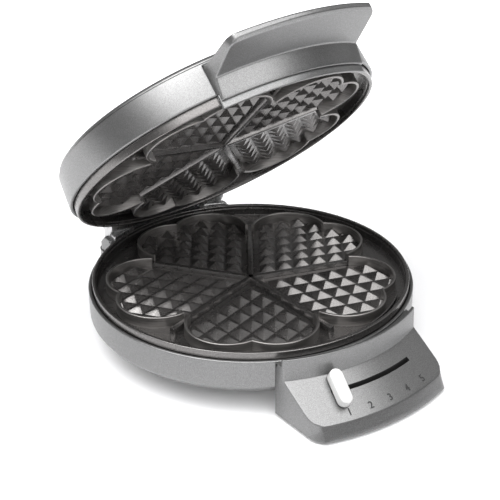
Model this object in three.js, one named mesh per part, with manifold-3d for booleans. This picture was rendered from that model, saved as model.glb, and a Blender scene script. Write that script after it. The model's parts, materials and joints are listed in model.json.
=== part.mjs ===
// A round waffle maker with five heart-shaped waffle hollows.
// Millimetres, +Z up, the control tab at the front (-Y), the hinge at the back (+Y).
// The lid is drawn closed, then its group is turned up about the hinge to the angle it stands at.

import * as THREE from "three";
import { mergeVertices } from "three/addons/utils/BufferGeometryUtils.js";
import Module from "manifold-3d";

const wasm = await Module();
wasm.setup();

const rad = THREE.MathUtils.degToRad;

// ---------- Driving dimensions ----------

const BODY_AXIS_Y = 10; // the body's vertical axis, measured from the object's origin
const BODY_R = 112; // casing radius
const BAND_TOP = 40; // top edge of the base's casing
const BAND_FOOT = 21; // where the base's casing starts to curve under
const MEETING_Z = 45; // the plane where the two plates meet
const GAP = 0.3; // clearance between neighbouring pieces

const LID_OPEN_DEG = 44.15; // how far the lid stands open at rest
const HINGE_Y = 109.2;
const HINGE_Z = 52;
const LID_BAND_FOOT = 51; // lower edge of the lid's casing when closed
const LID_BAND_TOP = 73.4;

const PLATE_R = 109.2;
const LIP_INNER_R = 106.7;
const MOAT_Z = 36.5; // floor of the overflow moat
const HEART_FLOOR_Z = 37.2;
const PLATE_UNDER_Z = 32.5;
const WALL_TOP_Z = 44.6;
const DIVIDER_TOP_Z = 40.2;
const DIVIDER_HALF = 2.5;
const DIVIDER_END_R = 88.2;
const HEARTS = 5;
const HEART_STEP = (2 * Math.PI) / HEARTS;
const FIRST_HEART = Math.PI / 2; // the first heart points from the centre to the hinge
const HALF_WEDGE = HEART_STEP / 2;
const LOBE_R = 26.3;
const LOBE_REACH = 98; // farthest point of a lobe from the plate's centre
const HEART_WALL = 2;
const WALL_GAP = 2.5; // from a divider's centre line to the end of a heart's wall
const WALL_START_U = 58; // how far out along a heart its wall starts
const PYRAMID_SIDE = 12.9;
const PYRAMID_HEIGHT = 3.8;
const PYRAMID_START_U = 9.8; // from the plate's centre to the first pyramid's near corner
const PYRAMID_GROOVE = 0.9;
const PYRAMIDS_PER_SIDE = 7;
const CORNER_SPILL = 0.4; // a pyramid is left out when a corner would stand farther outside its heart

const LEDGE_INNER_R = 97;
const LEDGE_TOP = 30.9;
const LEDGE_FOOT = 28.4;
const PLATE_SCREW_R = 101.5;
const ELEMENT_R = 62;
const ELEMENT_TUBE_R = 3.2;
const ELEMENT_Z = 29;

const TAB_HALF = 54.5; // half width of the control tab and of the handle
const TAB_BACK_Y = -76.5;
const TAB_WALL_R = 119.4;
const TAB_WALL_TOP = 44.5;
const TAB_SHELL = 2.4;
const SLOT_R = 129.8;
const SLOT_HALF = 1.3;
const SLOT_REACH = rad(14.3); // each way from the front
const KNOB_ANGLE = rad(-102.2); // the knob stands by the lowest setting
const SLOPE_TOP = [119.9, 30]; // radius and height where the tab's slope starts
const SLOPE_FOOT = [146.7, 12.4];
const SLOPE = Math.atan2(SLOPE_TOP[1] - SLOPE_FOOT[1], SLOPE_FOOT[0] - SLOPE_TOP[0]);
const FLOOR_CLEARANCE = 2; // under the tab and the rear housing

const REAR_HALF = 54;
const REAR_R = 130;
const GLAND_R = 6;
const GLAND_Z = 15;
const TOWER_IN = 29.2; // the hinge towers stand either side of the lid's barrel
const TOWER_OUT = 53;
const KNUCKLE_OUT = 50;
const KNUCKLE_R = 7.2;
const BARREL_HALF = 28.4;
const BARREL_R = 6.2;
const PIN_R = 2;
const PIN_IN = 19; // each pin reaches from here, inside the barrel, to its knuckle's outer face
const SCREW_R = 1.8;
const SCREW_HOLE_R = 2.1;

const LATHE_STEPS = 48; // sides of the casings' and plates' circles
const HIDDEN_STEPS = 24; // sides of large round pieces that nothing shows
const HOLE_SIDES = 8; // sides of screws and screw holes
const LOBE_STEPS = 7; // chords in each arc of a heart
// ---------- Materials ----------

const paint = (color, roughness, metalness) =>
  new THREE.MeshStandardMaterial({ color, roughness, metalness });

const silver = paint(0x8f8f8f, 0.38, 0.6);
const nonStick = paint(0x3c3a3a, 0.35, 0.3);
const darkPlastic = paint(0x242424, 0.55, 0);
const knobPlastic = paint(0xf2f2f2, 0.4, 0);
const steel = paint(0xb8b8ba, 0.3, 1);
const sheetMetal = paint(0xa9abad, 0.45, 0.9);
const ceramic = paint(0xe6e0d2, 0.6, 0);
const rubber = paint(0x161616, 0.9, 0);
const redLens = paint(0xa01c14, 0.15, 0);
const greenLens = paint(0x1c8a34, 0.15, 0);
const leadSleeve = paint(0xd8d4c8, 0.7, 0);

// ---------- Solids ----------

// A closed geometry as a solid with its faces pointing out, ready to be joined and cut.
function solid(geometry) {
  const bare = geometry.clone();
  bare.deleteAttribute("normal");
  bare.deleteAttribute("uv");
  const merged = mergeVertices(bare, 1e-3);
  const index = merged.index.array;
  const corners = [];
  for (let i = 0; i < index.length; i += 3) {
    const [a, b, c] = [index[i], index[i + 1], index[i + 2]];
    if (a !== b && b !== c && c !== a) corners.push(a, b, c);
  }
  const make = (triVerts) =>
    new wasm.Manifold(
      new wasm.Mesh({
        numProp: 3,
        vertProperties: new Float32Array(merged.attributes.position.array),
        triVerts: new Uint32Array(triVerts),
      }),
    );
  const made = make(corners);
  return made.volume() >= 0 ? made : make(corners.reverse());
}

const join = (first, ...rest) => rest.reduce((sum, part) => sum.add(part), first);
const cut = (first, ...rest) => rest.reduce((left, part) => left.subtract(part), first);

// A ring or disc turned about the vertical axis from a closed outline of [radius, height] points.
function turned(outline, steps = LATHE_STEPS) {
  const onAxis = outline[0][0] === 0 && outline.at(-1)[0] === 0;
  const points = (onAxis ? outline : [...outline, outline[0]]).map(([r, z]) => new THREE.Vector2(r, z));
  return new THREE.LatheGeometry(points, steps).rotateX(Math.PI / 2);
}

// A flat outline raised from one height to another.
function raised(shape, low, high, curveSegments = 12) {
  const extrusion = { depth: high - low, bevelEnabled: false, curveSegments };
  return new THREE.ExtrudeGeometry(shape, extrusion).translate(0, 0, low);
}

const polygon = (points) => new THREE.Shape(points.map(([x, y]) => new THREE.Vector2(x, y)));

const middle = (low, high) => (low + high) / 2;

const block = ([x0, x1], [y0, y1], [z0, z1]) =>
  new THREE.BoxGeometry(x1 - x0, y1 - y0, z1 - z0)
    .translate(middle(x0, x1), middle(y0, y1), middle(z0, z1));

// A round post along Z, and round bars along X and Y.
const post = (r, low, high, x = 0, y = 0, sides = 24) =>
  new THREE.CylinderGeometry(r, r, high - low, sides)
    .rotateX(Math.PI / 2)
    .translate(x, y, middle(low, high));

const barAlongX = (r, [x0, x1], y, z, sides = 32) =>
  new THREE.CylinderGeometry(r, r, x1 - x0, sides)
    .rotateZ(Math.PI / 2)
    .translate(middle(x0, x1), y, z);

const barAlongY = (r, [y0, y1], x, z, sides = 24) =>
  new THREE.CylinderGeometry(r, r, y1 - y0, sides).translate(x, middle(y0, y1), z);

// Round cutters for screw holes: one standing at (x, y), and one lying along Y.
const screwHole = (low, high) => (x, y) => solid(post(SCREW_HOLE_R, low, high, x, y, HOLE_SIDES));
const sideScrewHole = (y, x, z) => barAlongY(SCREW_HOLE_R, y, x, z, HOLE_SIDES);

// A sector of a flat ring, between two angles.
function ringSector(inner, outer, from, to) {
  const shape = new THREE.Shape();
  shape.absarc(0, 0, outer, from, to, false);
  shape.absarc(0, 0, inner, to, from, true);
  return shape;
}

// Turns a piece of the base over, so that it fits the lid: the two halves mirror at the meeting plane.
const turnOver = (geometry) => geometry.clone().rotateY(Math.PI).translate(0, 0, 2 * MEETING_Z);

// A plain pan-head screw that points up, with its head's underside at the given height.
function screw(headUnder, tip, headR = 3.4, headHeight = 2) {
  return turned(
    [
      [0, headUnder - headHeight],
      [headR, headUnder - headHeight],
      [headR, headUnder],
      [SCREW_R, headUnder],
      [SCREW_R, tip],
      [0, tip],
    ],
    HOLE_SIDES,
  );
}

const meshFrom = (made) => {
  const { vertProperties, triVerts } = made.getMesh();
  const geometry = new THREE.BufferGeometry();
  geometry.setAttribute("position", new THREE.BufferAttribute(vertProperties, 3));
  geometry.setIndex(new THREE.BufferAttribute(triVerts, 1));
  return geometry;
};

// Names a solid or a plain geometry as one piece of the assembly.
function piece(parent, name, shape, material) {
  const geometry = shape instanceof THREE.BufferGeometry ? meshFrom(solid(shape)) : meshFrom(shape);
  geometry.computeVertexNormals();
  const mesh = new THREE.Mesh(geometry, material);
  mesh.name = name;
  parent.add(mesh);
  return mesh;
}

// ---------- Waffle plate ----------

// The middle of a lobe's arc, from the heart's point, for the lobe on the +V side.
const lobeRadiusFromCentre = LOBE_REACH - LOBE_R;
const lobeAngle = HALF_WEDGE - Math.asin((DIVIDER_HALF + LOBE_R) / lobeRadiusFromCentre);
const LOBE_U = lobeRadiusFromCentre * Math.cos(lobeAngle);
const LOBE_V = lobeRadiusFromCentre * Math.sin(lobeAngle);

// A heart along +X with its point by the plate's centre; grow moves its outline outwards.
function heart(grow = 0) {
  const r = LOBE_R + grow;
  const apex = (DIVIDER_HALF - grow) / Math.sin(HALF_WEDGE);
  const shoulder = HALF_WEDGE + Math.PI / 2; // where the straight side runs into the lobe
  const cleft = Math.asin(LOBE_V / r);
  const shape = new THREE.Shape();
  shape.moveTo(apex, 0);
  shape.lineTo(LOBE_U - r * Math.sin(HALF_WEDGE), -LOBE_V - r * Math.cos(HALF_WEDGE));
  shape.absarc(LOBE_U, -LOBE_V, r, -shoulder, cleft, false);
  shape.absarc(LOBE_U, LOBE_V, r, -cleft, shoulder, false);
  shape.lineTo(apex, 0);
  return shape;
}

// Whether a point of the heart's own plane is inside its outline, by at least a margin.
function insideHeart(u, v, margin) {
  const fromDivider = u * Math.sin(HALF_WEDGE) - Math.abs(v) * Math.cos(HALF_WEDGE);
  if (fromDivider < DIVIDER_HALF + margin) return false;
  const bearing = Math.atan2(Math.abs(v) - LOBE_V, u - LOBE_U);
  const facesOut = bearing > -Math.asin(LOBE_V / LOBE_R) && bearing < HALF_WEDGE + Math.PI / 2;
  return !facesOut || Math.hypot(u - LOBE_U, Math.abs(v) - LOBE_V) < LOBE_R - margin;
}

// The field of four-sided pyramids in one heart, on a grid whose grooves follow the heart's two sides.
function pyramidField() {
  const halfLong = PYRAMID_SIDE * Math.cos(HALF_WEDGE);
  const halfWide = PYRAMID_SIDE * Math.sin(HALF_WEDGE);
  const shrink = 1 - PYRAMID_GROOVE / (PYRAMID_SIDE * Math.sin(HEART_STEP));
  const sink = 0.4; // each pyramid is rooted a little below the heart's floor
  let field = null;
  for (let i = 0; i < PYRAMIDS_PER_SIDE; i += 1) {
    for (let j = 0; j < PYRAMIDS_PER_SIDE; j += 1) {
      const u = PYRAMID_START_U + (i + j + 1) * halfLong;
      const v = (i - j) * halfWide;
      const corners = [
        [u - halfLong, v],
        [u + halfLong, v],
        [u, v - halfWide],
        [u, v + halfWide],
      ];
      if (!corners.every(([x, y]) => insideHeart(x, y, -CORNER_SPILL))) continue;
      const pyramid = new THREE.ConeGeometry(1, PYRAMID_HEIGHT + sink, 4)
        .rotateX(Math.PI / 2)
        .scale(halfLong * shrink, halfWide * shrink, 1)
        .translate(u, v, HEART_FLOOR_Z + (PYRAMID_HEIGHT - sink) / 2);
      field = field ? field.add(solid(pyramid)) : solid(pyramid);
    }
  }
  const hollow = raised(heart(), HEART_FLOOR_Z - 1, WALL_TOP_Z, LOBE_STEPS);
  return meshFrom(field.intersect(solid(hollow)));
}

// Where a heart has its raised wall: beyond its straight sides, and clear of the dividers.
function wallReach() {
  const farU = PLATE_R + 15;
  const halfWidthAt = (u) => (u - WALL_GAP / Math.sin(HALF_WEDGE)) * Math.tan(HALF_WEDGE);
  return polygon([
    [WALL_START_U, -halfWidthAt(WALL_START_U)],
    [farU, -halfWidthAt(farU)],
    [farU, halfWidthAt(farU)],
    [WALL_START_U, halfWidthAt(WALL_START_U)],
  ]);
}

// The lower plate; the upper one is the same casting turned over.
function wafflePlate() {
  let plate = solid(
    turned([
      [0, PLATE_UNDER_Z],
      [104.5, PLATE_UNDER_Z],
      [PLATE_R, 37],
      [PLATE_R, MEETING_Z - 0.2],
      [LIP_INNER_R, MEETING_Z - 0.2],
      [LIP_INNER_R, MOAT_Z],
      [0, MOAT_Z],
    ]),
  );
  const wall = meshFrom(
    solid(raised(heart(HEART_WALL), MOAT_Z - 0.5, WALL_TOP_Z, LOBE_STEPS)).intersect(
      solid(raised(wallReach(), MOAT_Z - 1, WALL_TOP_Z + 1)),
    ),
  );
  const floor = raised(heart(), MOAT_Z - 0.5, HEART_FLOOR_Z, LOBE_STEPS);
  const hollow = raised(heart(), HEART_FLOOR_Z, WALL_TOP_Z + 1, LOBE_STEPS);
  const divider = new THREE.ExtrudeGeometry(
    polygon([
      [-DIVIDER_HALF - 0.2, PLATE_UNDER_Z + 1],
      [DIVIDER_HALF + 0.2, PLATE_UNDER_Z + 1],
      [DIVIDER_HALF - 0.9, DIVIDER_TOP_Z],
      [0.9 - DIVIDER_HALF, DIVIDER_TOP_Z],
    ]),
    { depth: DIVIDER_END_R, bevelEnabled: false },
  )
    .rotateX(Math.PI / 2)
    .rotateZ(Math.PI / 2);
  const pyramids = pyramidField();
  for (let k = 0; k < HEARTS; k += 1) {
    const turn = FIRST_HEART + k * HEART_STEP;
    plate = plate.add(solid(wall.clone().rotateZ(turn))).add(solid(floor.clone().rotateZ(turn)));
    plate = plate.subtract(solid(hollow.clone().rotateZ(turn)));
  }
  for (let k = 0; k < HEARTS; k += 1) {
    const turn = FIRST_HEART + k * HEART_STEP;
    plate = plate.add(solid(divider.clone().rotateZ(turn + HALF_WEDGE)));
    plate = plate.add(solid(pyramids.clone().rotateZ(turn)));
  }
  const rib = raised(ringSector(102.2, 104.2, rad(-126), rad(-54)), MOAT_Z - 0.5, MEETING_Z - 3.4);
  plate = plate.add(solid(rib));
  return cut(plate, ...plateScrewPlaces(screwHole(20, MOAT_Z - 1.2)));
}

// Runs a maker at each of the four places where a plate is screwed down.
function plateScrewPlaces(make) {
  return [45, 135, 225, 315].map((deg) =>
    make(PLATE_SCREW_R * Math.cos(rad(deg)), PLATE_SCREW_R * Math.sin(rad(deg))),
  );
}

// ---------- What lies under a plate ----------

// Sheet-metal dish that throws the element's heat back at the plate, clamped between plate and ledge.
function heatShield(holeR) {
  const dish = turned(
    [
      [holeR, 20.8],
      [88, 20.8],
      [95.5, LEDGE_TOP + GAP],
      [106.5, LEDGE_TOP + GAP],
      [106.5, LEDGE_TOP + GAP + 1],
      [94.6, LEDGE_TOP + GAP + 1],
      [87.2, 21.8],
      [holeR, 21.8],
    ],
    HIDDEN_STEPS,
  );
  return cut(solid(dish), ...plateScrewPlaces(screwHole(20, 40)));
}

// Tubular heating element: nearly a full ring, with both ends bent down to its terminals.
function heatingElement() {
  const start = rad(102);
  const sweep = rad(336);
  const bends = 26;
  const at = (angle, drop = 0) =>
    new THREE.Vector3(ELEMENT_R * Math.cos(angle), ELEMENT_R * Math.sin(angle), ELEMENT_Z - drop);
  const points = [at(start - rad(3.2), 3.6), at(start - rad(2.4), 0.9)];
  for (let i = 0; i <= bends; i += 1) points.push(at(start + (sweep * i) / bends));
  points.push(at(start + sweep + rad(2.4), 0.9), at(start + sweep + rad(3.2), 3.6));
  const section = new THREE.Shape();
  section.absarc(0, 0, ELEMENT_TUBE_R, 0, 2 * Math.PI, false);
  return new THREE.ExtrudeGeometry(section, {
    steps: 44,
    curveSegments: 3,
    bevelEnabled: false,
    extrudePath: new THREE.CatmullRomCurve3(points),
  });
}

// Insulated lead: a thin sleeve through a few points.
function lead(points) {
  const section = new THREE.Shape();
  section.absarc(0, 0, 1.1, 0, 2 * Math.PI, false);
  return new THREE.ExtrudeGeometry(section, {
    steps: 12,
    curveSegments: 3,
    bevelEnabled: false,
    extrudePath: new THREE.CatmullRomCurve3(points.map((p) => new THREE.Vector3(...p))),
  });
}

// ---------- Base ----------

// The outside of the bowl under the casing, as [radius, height] points from the bottom up.
const BOWL = [
  [86, 5.7],
  [106.5, 15.4],
  [110.4, 17.8],
  [BODY_R, BAND_FOOT],
];

// The space that the bowl and the casing take up, with clearance, for cutting their neighbours.
const bowlSpace = () =>
  solid(
    turned([
      [0, -10],
      [86 + GAP, -10],
      [86 + GAP, 5.4],
      ...BOWL.slice(1).map(([r, z]) => [r + GAP, z - GAP / 2]),
      [BODY_R + GAP, BAND_TOP + GAP],
      [0, BAND_TOP + GAP],
    ]),
  );

function coverScrews(make) {
  const r = 78;
  return [90, 210, 330].map((deg) => make(r * Math.cos(rad(deg)), r * Math.sin(rad(deg))));
}

function baseShell() {
  const shell = turned([
    [72, 5.7],
    ...BOWL,
    [BODY_R, BAND_TOP - 0.8],
    [BODY_R - 0.8, BAND_TOP],
    [BODY_R - 2.2, BAND_TOP],
    [BODY_R - 2.2, LEDGE_TOP],
    [LEDGE_INNER_R, LEDGE_TOP],
    [LEDGE_INNER_R, LEDGE_FOOT],
    [BODY_R - 2.5, LEDGE_FOOT],
    [BODY_R - 2.5, BAND_FOOT + 0.6],
    [85.6, 8.2],
    [72, 8.2],
  ]);
  const leverWindow = raised(ringSector(87.5, 109, rad(-108), rad(-72)), 9.6, 15.4);
  return cut(
    solid(shell),
    solid(leverWindow),
    ...plateScrewPlaces(screwHole(20, 40)),
    ...coverScrews(screwHole(0, 20)),
  );
}

function bottomCover() {
  const disc = turned([
    [0, 3],
    [85.4, 3],
    [85.4, 5.4],
    [0, 5.4],
  ]);
  return cut(solid(disc), ...coverScrews(screwHole(0, 20)));
}

// Outline seen from above of the tab in front: straight sides and rounded corners, inset by a wall.
function tabOutline(inset) {
  const half = TAB_HALF - inset;
  const cornerR = 12 - inset;
  const reach = 149.5 - inset;
  const cx = half - cornerR;
  const cy = -Math.sqrt((reach - cornerR) ** 2 - cx ** 2);
  const bearing = Math.atan2(cy, cx);
  const beyond = 154;
  const shape = new THREE.Shape();
  shape.moveTo(half, TAB_BACK_Y + inset);
  shape.lineTo(-half, TAB_BACK_Y + inset);
  shape.lineTo(-half, cy);
  shape.absarc(-cx, cy, cornerR, -Math.PI, -Math.PI - bearing, false);
  shape.absarc(0, 0, beyond, -Math.PI - bearing, bearing, false);
  shape.absarc(cx, cy, cornerR, bearing, 0, false);
  shape.lineTo(half, TAB_BACK_Y + inset);
  return shape;
}

// The control tab: a low wall by the casing, then a slope with the slider's slot, then a short front.
function controlHousing() {
  const wallFoot = BAND_TOP - 0.3;
  const outside = solid(
    turned([
      [0, FLOOR_CLEARANCE],
      [151.5, FLOOR_CLEARANCE],
      [147.2, 11.6],
      SLOPE_FOOT,
      SLOPE_TOP,
      [TAB_WALL_R, TAB_WALL_TOP],
      [TAB_WALL_R - 2, TAB_WALL_TOP],
      [TAB_WALL_R - 2, wallFoot],
      [0, wallFoot],
    ]),
  ).intersect(solid(raised(tabOutline(0), FLOOR_CLEARANCE, TAB_WALL_TOP + 1, 6)));
  const drop = TAB_SHELL / Math.cos(SLOPE);
  const inside = solid(
    turned([
      [0, -1],
      [151.5 - TAB_SHELL, -1],
      [147, 7],
      [SLOPE_FOOT[0] - TAB_SHELL * 0.6, SLOPE_FOOT[1] - drop],
      [TAB_WALL_R - TAB_SHELL, SLOPE_TOP[1] - drop],
      [TAB_WALL_R - TAB_SHELL, wallFoot - TAB_SHELL],
      [0, wallFoot - TAB_SHELL],
    ]),
  ).intersect(solid(raised(tabOutline(TAB_SHELL), -1, TAB_WALL_TOP, 6)));
  const front = rad(-90);
  const slot = ringSector(SLOT_R - SLOT_HALF, SLOT_R + SLOT_HALF, front - SLOT_REACH, front + SLOT_REACH);
  return cut(outside, inside, bowlSpace(), solid(raised(slot, 10, 40, 8)));
}

// Flat cover that closes the tab from below.
function controlCover() {
  const plate = solid(raised(tabOutline(TAB_SHELL + GAP), FLOOR_CLEARANCE, FLOOR_CLEARANCE + 2, 6));
  const reach = turned([
    [86.8, 0],
    [147.4, 0],
    [147.4, 10],
    [86.8, 10],
  ]);
  return cut(plate.intersect(solid(reach)), ...controlCoverScrews(screwHole(0, 20)));
}

const controlCoverScrews = (make) => [-1, 1].map((side) => make(side * 40, -120));

// Rounded block behind the casing that carries the hinge.
function rearOutline(inset) {
  const half = REAR_HALF - inset;
  const cornerR = 10 - inset;
  const reach = REAR_R - inset;
  const cx = half - cornerR;
  const cy = Math.sqrt((reach - cornerR) ** 2 - cx ** 2);
  const bearing = Math.atan2(cy, cx);
  const shape = new THREE.Shape();
  shape.moveTo(-half, 84 + inset);
  shape.lineTo(half, 84 + inset);
  shape.lineTo(half, cy);
  shape.absarc(cx, cy, cornerR, 0, bearing, false);
  shape.absarc(0, 0, reach, bearing, Math.PI - bearing, false);
  shape.absarc(-cx, cy, cornerR, Math.PI - bearing, Math.PI, false);
  shape.lineTo(-half, 84 + inset);
  return shape;
}

const bothSides = (make) => [-1, 1].map((side) => make(side));
const span = (side, near, far) => (side > 0 ? [near, far] : [-far, -near]);

function rearHousing() {
  const saddleZ = 31.5;
  let housing = solid(raised(rearOutline(0), FLOOR_CLEARANCE, saddleZ, 6));
  const tower = solid(
    turned([
      [BODY_R + GAP, saddleZ - 1],
      [126, saddleZ - 1],
      [126, 37.5],
      [121, 43],
      [BODY_R + GAP, 43],
    ]),
  );
  for (const side of [-1, 1]) {
    const knuckleSpan = span(side, TOWER_IN, KNUCKLE_OUT);
    const towerBlock = solid(block(span(side, TOWER_IN, TOWER_OUT), [84, 128], [saddleZ - 1, 44]));
    housing = join(
      housing,
      tower.intersect(towerBlock),
      solid(block(knuckleSpan, [HINGE_Y - 3.3, HINGE_Y + 4.3], [BAND_TOP - 1, HINGE_Z])),
      solid(barAlongX(KNUCKLE_R, knuckleSpan, HINGE_Y, HINGE_Z)),
    );
  }
  const inside = solid(raised(rearOutline(TAB_SHELL), -1, saddleZ - TAB_SHELL, 6));
  const pinHole = solid(barAlongX(PIN_R + GAP, [-60, 60], HINGE_Y, HINGE_Z, 16));
  const glandHole = solid(barAlongY(GLAND_R + GAP, [120, 140], 0, GLAND_Z, 20));
  return cut(housing, inside, bowlSpace(), pinHole, glandHole);
}

function rearCover() {
  const plate = solid(raised(rearOutline(TAB_SHELL + GAP), FLOOR_CLEARANCE, FLOOR_CLEARANCE + 2, 6));
  const bowl = solid(post(86.6, -1, 20, 0, 0, LATHE_STEPS));
  return cut(plate, bowl, ...rearCoverScrews(screwHole(0, 20)));
}

const rearCoverScrews = (make) => [-1, 1].map((side) => make(side * 24, 112));

// Flanged bush in the rear wall, where the mains lead goes in.
function cordGland() {
  const outline = [
    [3.3, -4],
    [GLAND_R, -4],
    [GLAND_R, GAP],
    [8.5, GAP],
    [8, 1.5],
    [3.3, 1.5],
  ];
  return turned(outline, 24)
    .rotateX(-Math.PI / 2)
    .translate(0, REAR_R, GLAND_Z);
}

// ---------- Slider ----------

const alongKnob = (geometry) => geometry.rotateZ(KNOB_ANGLE);

// Flat arm that carries the knob round the thermostat's spindle.
function sliderLever() {
  const arm = block([0, SLOT_R + 1], [-3.5, 3.5], [11.2, 13]);
  const riser = raised(ringSector(SLOT_R - 0.8, SLOT_R + 0.8, -rad(1.5), rad(1.5)), 11.2, 26.2, 3);
  const hub = post(7.5, 11.2, 15, 0, 0, 20);
  const whole = join(solid(alongKnob(arm)), solid(alongKnob(riser)), solid(hub));
  return whole.subtract(solid(post(3 + GAP, 10, 20, 0, 0, 16)));
}

// Long rounded button lying up the slope, with a socket for the arm's end.
function sliderKnob() {
  const length = 24;
  const width = 9;
  const thick = 6.5;
  const straight = (length - width) / 2;
  const shape = new THREE.Shape();
  shape.absarc(straight, 0, width / 2, -Math.PI / 2, Math.PI / 2, false);
  shape.absarc(-straight, 0, width / 2, Math.PI / 2, (3 * Math.PI) / 2, false);
  const lift = 0.7;
  const surfaceZ = SLOPE_TOP[1] - (SLOT_R - SLOPE_TOP[0]) * Math.tan(SLOPE);
  const button = raised(shape, lift, lift + thick, 7)
    .rotateY(SLOPE)
    .translate(SLOT_R, 0, surfaceZ);
  const socket = raised(ringSector(SLOT_R - 1.1, SLOT_R + 1.1, -rad(1.7), rad(1.7)), 15, 26.5, 3);
  return solid(alongKnob(button)).subtract(solid(alongKnob(socket)));
}

// ---------- Lid ----------

function lidBand() {
  const band = turned([
    [BODY_R - 2.2, LID_BAND_FOOT],
    [BODY_R - 0.8, LID_BAND_FOOT],
    [BODY_R, LID_BAND_FOOT + 0.8],
    [110.6, LID_BAND_TOP - 0.6],
    [110, LID_BAND_TOP],
    [107.4, LID_BAND_TOP],
    [109.2, 61.6],
    [LEDGE_INNER_R, 61.6],
    [LEDGE_INNER_R, 59.1],
    [BODY_R - 2.2, 59.1],
  ]);
  const screws = [
    ...plateScrewPlaces(screwHole(50, 70)),
    ...handleScrewTurns((turn) => solid(sideScrewHole([-125, -100], 0, HANDLE_SCREW_Z).rotateZ(turn))),
    ...bracketScrews((x) => solid(sideScrewHole([100, 125], x, BRACKET_SCREW_Z))),
  ];
  return clearOfHinge(cut(solid(band), ...screws));
}

const HANDLE_SCREW_Z = 67.6;
const BRACKET_SCREW_Z = 66;
const handleScrewTurns = (make) => [-1, 1].map((side) => make(rad(20) * side));
const bracketScrews = (make) => [-1, 1].map((side) => make(15 * side));

// Cuts away whatever the knuckles and the barrel need to turn in.
function clearOfHinge(made) {
  const room = (r, reach) => solid(barAlongX(r, reach, HINGE_Y, HINGE_Z, 24));
  const knuckles = bothSides((side) =>
    room(KNUCKLE_R + 0.8, span(side, BARREL_HALF + 0.1, KNUCKLE_OUT + 0.8)),
  );
  const barrelEnd = BARREL_HALF + 0.4;
  return cut(made, room(BARREL_R + 0.4, [-barrelEnd, barrelEnd]), ...knuckles);
}

function lidCover() {
  const dome = turned([
    [0, 78.8],
    [69, 77.8],
    [102, 75.4],
    [105, LID_BAND_TOP + GAP],
    [110, LID_BAND_TOP + GAP],
    [109.4, 75.4],
    [104.5, 77.6],
    [70, 80.2],
    [0, 81.2],
  ]);
  return cut(solid(dome), ...lampPlaces((x, y) => solid(post(3.9, 60, 90, x, y, 20))));
}

const lampPlaces = (make) => [-1, 1].map((side) => make(side * 9, -88));

// Domed lamp lens with a flange behind the cover.
const lampLens = () =>
  turned([
    [0, 74.2],
    [5, 74.2],
    [5, 75.4],
    [3.5, 75.4],
    [3.5, 79.4],
    [0, 80.4],
  ], 12);

// The handle: a curved bracket on the lid's casing that flares out into a wide wing.
function handle() {
  const body = solid(
    turned([
      [BODY_R + 0.6, 45.4],
      [116.6, 45.4],
      [117.1, 46],
      [119.6, 58.8],
      [145, 65.2],
      [146.6, 66.6],
      [146.8, 69.8],
      [146, 70.6],
      [119.4, 69.4],
      [111.4, 72.2],
      [111.1, 71.6],
      [BODY_R + 0.4, 51.5],
    ]),
  ).intersect(solid(raised(handleOutline(), 40, 80, 8)));
  const trimSeat = solid(
    turned([
      [BODY_R, 40],
      [114.5 + GAP, 40],
      [114.5 + GAP, 50 + GAP],
      [BODY_R, 50 + GAP],
    ]),
  );
  const screws = handleScrewTurns((turn) =>
    solid(sideScrewHole([-116.6, -100], 0, HANDLE_SCREW_Z).rotateZ(turn)),
  );
  return cut(body, trimSeat, ...screws);
}

// Outline of the handle seen from above, with rounded outer corners.
function handleOutline() {
  const cornerR = 11;
  const reach = 147.4;
  const cx = TAB_HALF - cornerR;
  const cy = -Math.sqrt((reach - cornerR) ** 2 - cx ** 2);
  const bearing = Math.atan2(cy, cx);
  const shape = new THREE.Shape();
  shape.moveTo(TAB_HALF, -60);
  shape.lineTo(-TAB_HALF, -60);
  shape.lineTo(-TAB_HALF, cy);
  shape.absarc(-cx, cy, cornerR, -Math.PI, -Math.PI - bearing, false);
  shape.absarc(0, 0, reach, -Math.PI - bearing, bearing, false);
  shape.absarc(cx, cy, cornerR, bearing, 0, false);
  shape.lineTo(TAB_HALF, -60);
  return shape;
}

// Curved strip behind the handle's lower edge that closes the gap between lid and base.
function handleTrim() {
  const strip = turned([
    [112.6, 41],
    [114.1, 41],
    [114.5, 41.4],
    [114.5, 50],
    [112.6, 50],
  ]);
  return solid(strip).intersect(solid(block([-TAB_HALF, TAB_HALF], [-120, -60], [30, 60])));
}

// Dark bracket at the back of the lid, whose barrel turns on the hinge pins.
function hingeBracket() {
  const armProfile = [
    [3.4, 3.5],
    [9, 7.5],
    [9.3, 16.5],
    [3.4, 17.5],
    [2.6, 16],
  ];
  const arm = new THREE.ExtrudeGeometry(
    polygon(armProfile.map(([y, z]) => [HINGE_Y + y, HINGE_Z + z])),
    { depth: 2 * BARREL_HALF, bevelEnabled: false },
  )
    .rotateX(Math.PI / 2)
    .rotateZ(Math.PI / 2)
    .translate(-BARREL_HALF, 0, 0);
  const barrel = barAlongX(BARREL_R, [-BARREL_HALF, BARREL_HALF], HINGE_Y, HINGE_Z, 24);
  const pinHoles = bothSides((side) =>
    solid(barAlongX(PIN_R + GAP, span(side, PIN_IN - 1, 30), HINGE_Y, HINGE_Z, 16)),
  );
  const screws = bracketScrews((x) => solid(sideScrewHole([100, 117], x, BRACKET_SCREW_Z)));
  const bandSpace = solid(post(BODY_R + GAP, LID_BAND_FOOT + 6.2, 90, 0, 0, LATHE_STEPS));
  return cut(solid(arm).subtract(bandSpace).add(solid(barrel)), ...pinHoles, ...screws);
}

// ---------- Assembly ----------

const waffleMaker = new THREE.Group();
const base = new THREE.Group();
base.position.y = BODY_AXIS_Y;
waffleMaker.add(base);

const lidTurn = new THREE.Group(); // turns about the hinge
lidTurn.position.set(0, BODY_AXIS_Y + HINGE_Y, HINGE_Z);
lidTurn.rotation.x = -rad(LID_OPEN_DEG);
const lid = new THREE.Group(); // holds the lid's pieces where they lie when it is closed
lid.position.set(0, -HINGE_Y, -HINGE_Z);
lidTurn.add(lid);
waffleMaker.add(lidTurn);

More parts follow.
